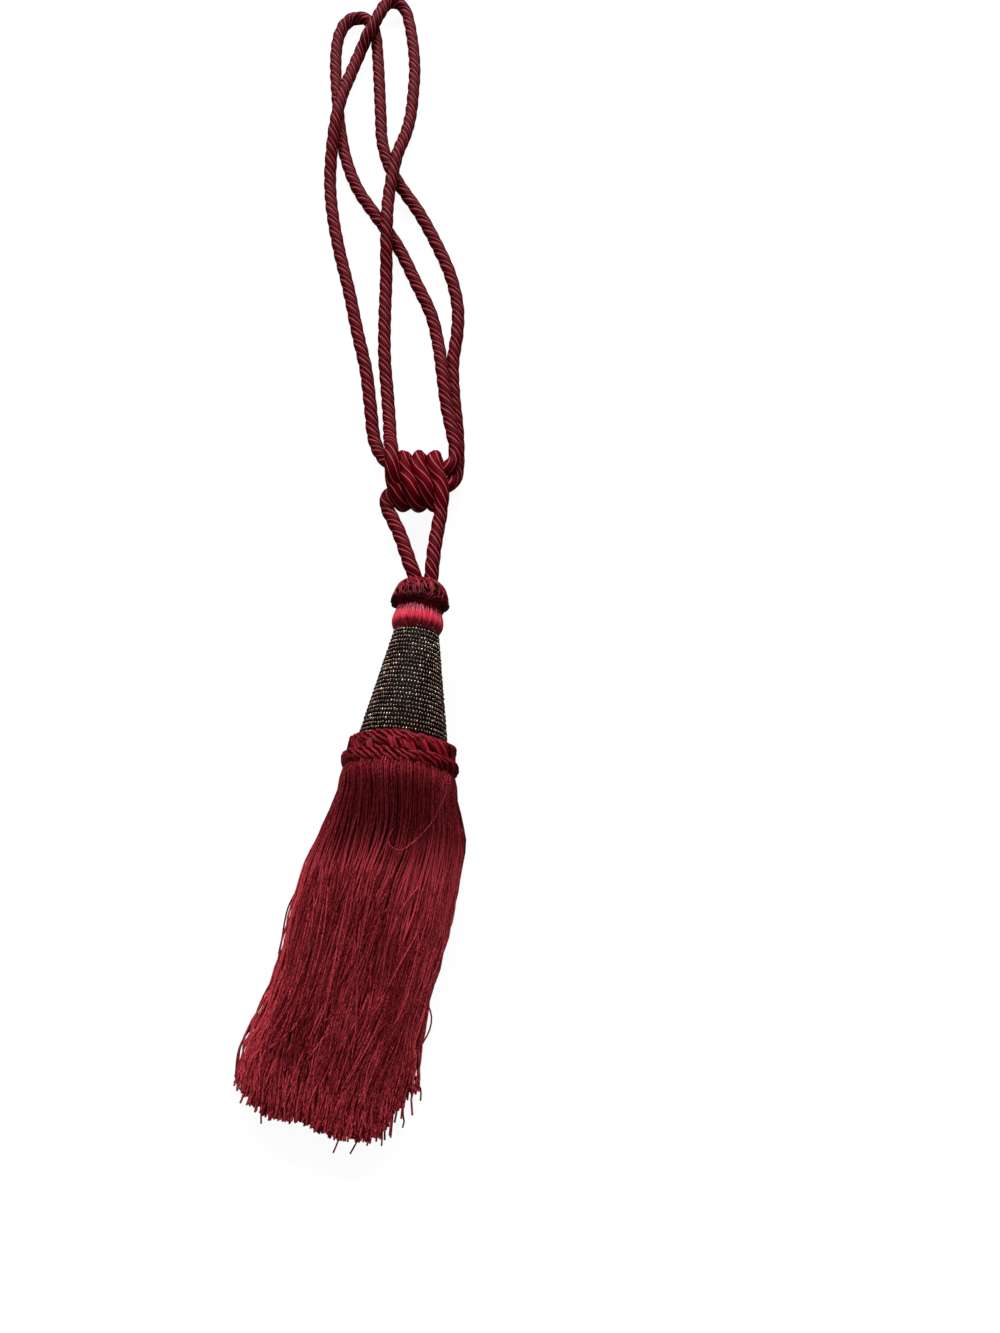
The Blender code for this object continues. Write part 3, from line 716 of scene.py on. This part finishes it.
hank_finish = yarn_finish(
    "hank_yarn", dye(54, 0, 5), dye(158, 26, 42), grain=0.003, fibres=1.0, drift=0.7,
    Roughness=0.4, Specular_IOR_Level=0.1,
)
dice = np.random.default_rng(5)
hank_lines = []
for hank in range(HANKS):
    start = math.tau * (hank + dice.uniform(-0.4, 0.4)) / HANKS
    lean = 0.5 if math.sin(start) > -0.3 else dice.choice((-0.5, 0.25, 0.6))
    lean += dice.normal(0, 0.1)
    lift = dice.uniform(-0.9, 0.5)
    length = dice.integers(4, len(HANK_ROUTE) + 1)
    for number in range(THREADS_PER_HANK):
        angle = start + number * 0.034
        hank_lines.append(smooth_line([
            ((radius + lift) * math.cos(angle + lean * k / 5),
             (radius + lift) * math.sin(angle + lean * k / 5), distance + dice.normal(0, 0.25))
            for k, (distance, radius) in enumerate(HANK_ROUTE[:length])
        ], 1.5))
hanks = grow("collar_hanks", thread, lines_mesh(
    "hank_lines", hank_lines, shade=dice.uniform(-0.4, 0.3, len(hank_lines))),
    hank_finish, HEAD_PLACE, Thickness=HANK_THREAD * MM, Sides=6)
collar_core = turned_core("collar_padding", COLLAR_CORE, shaded_finish.material)

# ---- Skirt ----
# A thick skirt of about fifteen hundred cut threads hangs from under the collar. They come out
# over a rounded shoulder, spread and sink until they lie on the surface, run together in locks,
# and end in an uneven cut edge.
THREAD = 1.05
THREAD_LAYERS = 11
THREADS_PER_LAYER = 170
SWAY = 1.1
LEFT_CORNER_CUT = 14.8
RIGHT_CORNER_CUT = 13.0
LOCKS_PER_RADIAN = 4.2
LOOSE_THREADS = 220
FRINGE_PAINTED_LIGHT = (  # along Y: painted light over the body, painted shade in the shoulder's fold and at the tips
    (-139, -0.28), (-100, -0.02), (-50, 0.13), (-12, 0.13), (4, -0.36), (30, -0.36))

# A row for each station along the skirt, from the roots to the tips: middle x and y, heading
# from -Y towards -X, half width, height of the top, height of the widest place, height of the
# underside, thickness of the band at the sides, hollow, evenness and squareness of the underside
SKIRT_STATIONS = (
    (22.4, 29.1, 5.0, 29.8, 57.6, 29.0, 0.8, 10.7, 0.62, 0.0, 2.1),
    (20.4, 7.4, 11.0, 36.5, 43.0, 18.0, -0.3, 10.2, 0.44, 0.3, 2.6),
    (10.2, -28.0, 13.0, 40.6, 33.0, 11.5, -0.3, 9.2, 0.20, 0.5, 3.0),
    (-2.2, -77.0, 15.0, 41.2, 22.5, 7.5, -0.3, 8.6, 0.10, 0.6, 3.0),
    (-10.9, -106.0, 14.0, 44.6, 18.0, 6.2, -0.3, 8.5, 0.09, 0.6, 3.0),
    (-17.8, -139.0, 12.0, 44.0, 14.0, 5.5, -0.3, 8.4, 0.08, 0.6, 3.0),
)


def skirt_point(station, angle, layer):
    """A point in a station of the skirt. The angle runs from the +X side over the top, and
    the layer runs from 0 at the hollow to 1 at the outside."""
    (x, y, heading, half_width, top, middle, underside, band, hollow, evenness,
     squareness) = SKIRT_STATIONS[station]
    angle = angle % math.tau
    over_top = angle <= math.pi
    unrolled = 1 - 2 * (angle if over_top else math.tau - angle) / math.pi
    place = (1 - evenness) * math.cos(angle) + evenness * unrolled
    curve = 2.0 if over_top else squareness
    rise = (1 - min(abs(place), 1.0) ** curve) ** (1 / curve)
    height = (top - middle) if over_top else (underside - middle)
    inner_width = half_width - band
    offset = place * (inner_width + (half_width - inner_width) * layer)
    z = middle + height * rise * (hollow + (1 - hollow) * layer)
    if station:
        offset += SWAY * math.sin(offset / 8 + 1.9 * station)
    turn = math.radians(heading)
    return np.array([x + offset * math.cos(turn), y - offset * math.sin(turn), z])


def skirt_thread(angle, layer, dice):
    """One thread: out from under the collar, over the shoulder, and along the skirt."""
    fullness = 0.62 + 0.38 * layer
    lift = np.interp(angle % math.tau, (0.36, 1.2, 2.1, 2.9), (0.0, 2.8, 2.6, -1.0))
    lift += dice.uniform(-1.5, 1.5)
    route = []
    for distance, radius in ((-2.0 + lift, 29.0), (-2.6 + lift, 31.2), (-5.0 + 0.5 * lift, 31.2)):
        spoke = HEAD_ACROSS * math.cos(angle) + HEAD_UP * math.sin(angle)
        route.append(HEAD_FOOT + HEAD_AXIS * distance + spoke * radius * fullness)
    slip = dice.normal(0, 0.05) if layer > 0.7 and dice.random() < 0.3 else 0.0
    stations = [skirt_point(number, angle + slip * number, layer)
                for number in range(len(SKIRT_STATIONS))]
    across = min(angle % math.tau, -angle % math.tau)
    lock = across * LOCKS_PER_RADIAN + 0.5 * math.sin(3 * across) + 0.2 * layer
    off_centre = 2 * (lock % 1) - 1
    side = math.cos(angle)
    corner = RIGHT_CORNER_CUT * (side ** 5 + side ** 16) if side > 0 else LEFT_CORNER_CUT * side ** 4
    lock_length = 2.6 * math.sin(37.0 * math.floor(lock))
    short = corner + 1.6 + lock_length + 7.5 * off_centre ** 2 + dice.uniform(0, 1.0)
    stretch = np.linalg.norm(stations[-1] - stations[-2])
    stations[-1] = stations[-2] + (stations[-1] - stations[-2]) * (1 - short / stretch)
    line = smooth_line(route + stations, 7.0)
    share = np.linspace(0, 1, len(line))[:, None]
    phase = dice.uniform(0, math.tau, 4)
    waves = np.column_stack([
        1.8 * np.sin(share[:, 0] * 8 + phase[0]) + 1.1 * np.sin(share[:, 0] * 31 + phase[1]),
        np.zeros(len(line)),
        0.6 * np.sin(share[:, 0] * 11 + phase[2]) + 0.4 * np.sin(share[:, 0] * 21 + phase[3]),
    ])
    line = line + waves * share ** 0.7
    line[:, 0] -= off_centre * share[:, 0] ** 7 * 3.6
    line[:, 2] = np.maximum(line[:, 2] - THREAD / 2, THREAD / 2)
    return line


fringe_finish = yarn_finish(
    "fringe_yarn", dye(88, 3, 12), dye(218, 74, 86), grain=0.0010, fibres=4.2, drift=0.25,
    bump=0.0002, Roughness=0.5, Specular_IOR_Level=0.1,
)
dice = np.random.default_rng(11)
fringe_lines = {"fringe_outer": [], "fringe_inner": [], "fringe_lower": []}
for layer_number in range(THREAD_LAYERS):
    for number in range(THREADS_PER_LAYER):
        angle = math.tau * (number + 0.5 * (layer_number % 2) + dice.uniform(-0.3, 0.3)) / THREADS_PER_LAYER
        layer = min(max((layer_number + dice.uniform(0.3, 1.0)) / THREAD_LAYERS, 0.0), 1.0)
        below = angle % math.tau > math.pi
        if below and number % 3 == 0:
            continue
        outside = layer_number >= THREAD_LAYERS / 2
        half = "fringe_lower" if below else "fringe_outer" if outside else "fringe_inner"
        fringe_lines[half].append(skirt_thread(angle, layer, dice))
for name, half in fringe_lines.items():
    # Each thread is random in tone, with the painted light and shade along Y added.
    shade = [dice.uniform(-0.24, 0.16) + np.interp(line[:, 1], *np.transpose(FRINGE_PAINTED_LIGHT))
             for line in half]
    fringe = grow(name, thread, lines_mesh(name + "_lines", half, shade=np.concatenate(shade)),
                  fringe_finish, Thickness=THREAD * MM, Sides=4)
    if name == "fringe_outer":
        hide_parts("skirt")


def over_skirt(reach, angle):
    """A point just above the skirt's threads, so many stations along it."""
    first = min(int(reach), len(SKIRT_STATIONS) - 2)
    near, far = (skirt_point(first + step, angle, 1.0) for step in (0, 1))
    return near + (far - near) * (reach - first)


# Threads that have slipped across the others or out of the side, as distances and heights
dice = np.random.default_rng(12)
loose_lines = [smooth_line(route, 3.0) for route in (
    ((29.2, -108, 3), (32.8, -115.7, 0.6), (31.9, -119.4, 0.6), (30.8, -123.1, 0.6)),
    ((30.7, -109, 3), (33.9, -116.7, 0.6), (35.4, -119.4, 0.6), (35.3, -124.5, 0.6)),
    ((27.1, -120, 2), (26.7, -130.4, 0.6), (27.4, -134.0, 0.6), (26.7, -136.7, 0.6)),
    ((6.6, -132, 2), (5.3, -140.8, 0.6), (3.5, -144.4, 0.6), (1.2, -148.4, 0.6)),
    ((11.1, -132, 2), (10.3, -143.0, 0.6), (9.2, -144.8, 0.6)),
    ((16.5, -132, 2), (16.7, -142.6, 0.6), (16.6, -144.8, 0.6)),
    ((-2.9, -130, 2), (-4.2, -139.9, 0.6), (-5.5, -143.9, 0.6), (-7.2, -148.0, 0.6)),
    ((-43.6, -118, 2), (-44.1, -130.0, 0.6), (-43.7, -134.9, 0.6)),
    ((-31.5, -23.2, 11), (-35.4, -31.0, 9), (-37.6, -39.6, 6), (-38.4, -46.2, 5), (-39.5, -54, 6)),
    ((-49.0, -88, 7), (-54.9, -95.1, 3), (-57.2, -99.9, 2), (-57.6, -104.6, 3), (-57.4, -112, 4)),
    ((33.8, -72, 7), (38.7, -79.8, 4), (40.2, -85.6, 3), (39.2, -91.4, 3), (35.0, -99, 4)),
)]
arc = ((0.00, 0.52), (0.18, 0.56), (0.40, 0.68), (0.72, 0.82), (1.00, 1.00), (1.18, 1.16),
       (1.30, 1.32), (1.28, 1.48), (1.20, 1.56), (1.04, 1.54))
loose_lines.append(smooth_line([over_skirt(reach, angle) for reach, angle in arc], 3.0))
for number in range(LOOSE_THREADS):
    reach, angle = dice.uniform(1.6, 3.2), dice.uniform(0.4, 2.7)
    drift = abs(dice.normal(0.0, 0.2)) if angle < 1.5 else dice.normal(0.0, 0.12)
    bend = dice.normal(0, 0.08)
    rise = abs(dice.normal(0, 0.9))
    loose_lines.append(smooth_line([
        over_skirt(reach + part * 1.2, angle + drift * part + bend * math.sin(part * math.pi))
        + (0, 0, rise * math.sin(part * math.pi)) for part in (0.0, 0.25, 0.5, 0.75, 1.0)], 4.0))
# Painted shade: the loose threads and the long arc are painted darker than the skirt under them.
loose_shade = dice.uniform(-0.7, 0.05, len(loose_lines))
loose_shade[-1 - LOOSE_THREADS] = -0.2
loose = grow("fringe_loose", thread, lines_mesh(
    "loose_lines", loose_lines, shade=loose_shade),
    fringe_finish, Thickness=THREAD * 0.9 * MM, Sides=5)

# ---- Floor and light ----
# A plain white floor that curves up into a backdrop, one long soft box beyond the far end of the
# loops, a weaker one over the skirt, and a pale surround. The floor and the backdrop throw no
# light back, so the sides of the threads stay deep.
FLOOR_RADIUS = 3.2
FLOOR_HEIGHT = -0.0002  # just under the part, so that their faces don't coincide
SWEEP = ((FLOOR_RADIUS, FLOOR_HEIGHT), (3.7, 0.15), (3.95, 0.6), (4.0, 1.5), (4.0, 5.0))  # radius, height
SWEEP_SIDES = 64
LIGHT_TARGET = Vector((0.02, 0.15, 0.0))

floor_finish = Finish("floor_paper", Roughness=0.9, Specular_IOR_Level=0.0, Emission_Strength=0.93)
floor_finish.shader.inputs["Base Color"].default_value = (0.1, 0.1, 0.1, 1)
floor_finish.shader.inputs["Emission Color"].default_value = (1, 1, 1, 1)


def stage_piece(name, rows, faces):
    """Surroundings made from circles around the middle, which throw no light on the part."""
    mesh = bpy.data.meshes.new(name)
    turns = [k * math.tau / SWEEP_SIDES for k in range(SWEEP_SIDES)]
    mesh.from_pydata([(radius * math.cos(turn), radius * math.sin(turn), height)
                      for radius, height in rows for turn in turns], [], faces)
    mesh.materials.append(floor_finish.material)
    piece = bpy.data.objects.new(name, mesh)
    bpy.context.scene.collection.objects.link(piece)
    piece.visible_diffuse = False
    piece.visible_glossy = False
    return piece


stage_piece("floor", SWEEP[:1], [tuple(range(SWEEP_SIDES))])
backdrop = stage_piece("backdrop", SWEEP, [
    (row * SWEEP_SIDES + k, (row + 1) * SWEEP_SIDES + k,
     (row + 1) * SWEEP_SIDES + (k + 1) % SWEEP_SIDES, row * SWEEP_SIDES + (k + 1) % SWEEP_SIDES)
    for row in range(len(SWEEP) - 1) for k in range(SWEEP_SIDES)])
backdrop.data.shade_smooth()
backdrop.visible_shadow = False

for name, place, width, depth, power in (
    ("key", (0.0, 2.2, 1.35), 3.4, 0.43, 120.0),
    ("front", (-0.1, -0.35, 1.3), 1.2, 1.2, 5.0),
):
    light = bpy.data.objects.new(name, bpy.data.lights.new(name, "AREA"))
    light.data.shape = "RECTANGLE"
    light.data.size = width
    light.data.size_y = depth
    light.data.energy = power
    light.location = place
    light.rotation_euler = (LIGHT_TARGET - Vector(place)).to_track_quat("-Z", "Y").to_euler()
    bpy.context.scene.collection.objects.link(light)

world = bpy.data.worlds.new("surround")
world.use_nodes = True
world.node_tree.nodes["Background"].inputs["Color"].default_value = (1, 1, 1, 1)
world.node_tree.nodes["Background"].inputs["Strength"].default_value = 0.12
bpy.context.scene.world = world
bpy.context.scene.view_settings.view_transform = "Standard"
